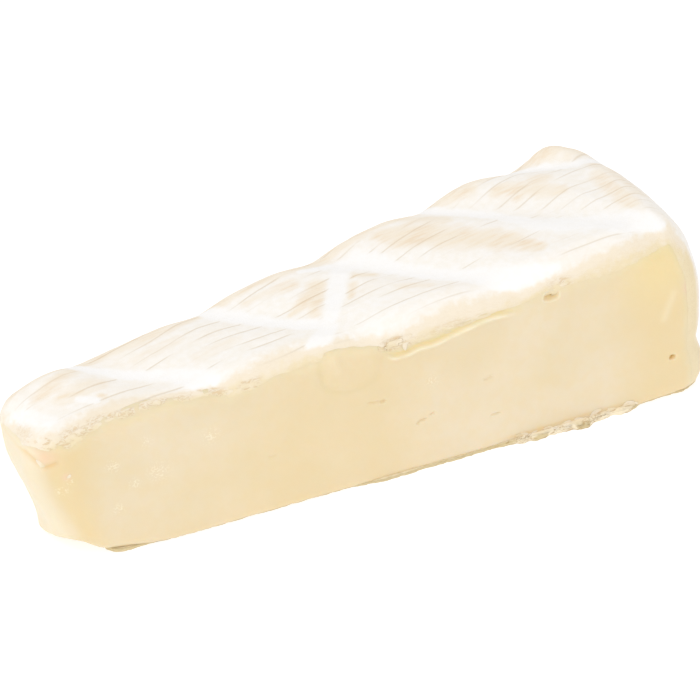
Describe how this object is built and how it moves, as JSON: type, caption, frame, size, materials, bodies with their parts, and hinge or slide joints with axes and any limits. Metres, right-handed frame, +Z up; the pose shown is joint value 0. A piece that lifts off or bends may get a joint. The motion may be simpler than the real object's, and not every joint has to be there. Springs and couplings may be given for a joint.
{
  "type": "brie wedge",
  "caption": "Long wedge of soft-ripened cheese with a quilted white rind above, a thin rind below, and a smooth cream cut face.",
  "frame": {"origin": "on the flat underside, below the middle of the wedge's bounding box", "axes": "+X from the narrow tip to the wide heel, -Y out of the broad cut face that the picture shows, +Z up"},
  "size_m": [0.1542, 0.0498, 0.0439],
  "materials": {
    "paste": "moist, slightly translucent cream paste with a soft sheen",
    "rind": "dry velvety white mould with peach worn patches and thin grooves"
  },
  "bodies": {
    "root": {"brie_wedge": "paste"}
  },
  "joints": []
}
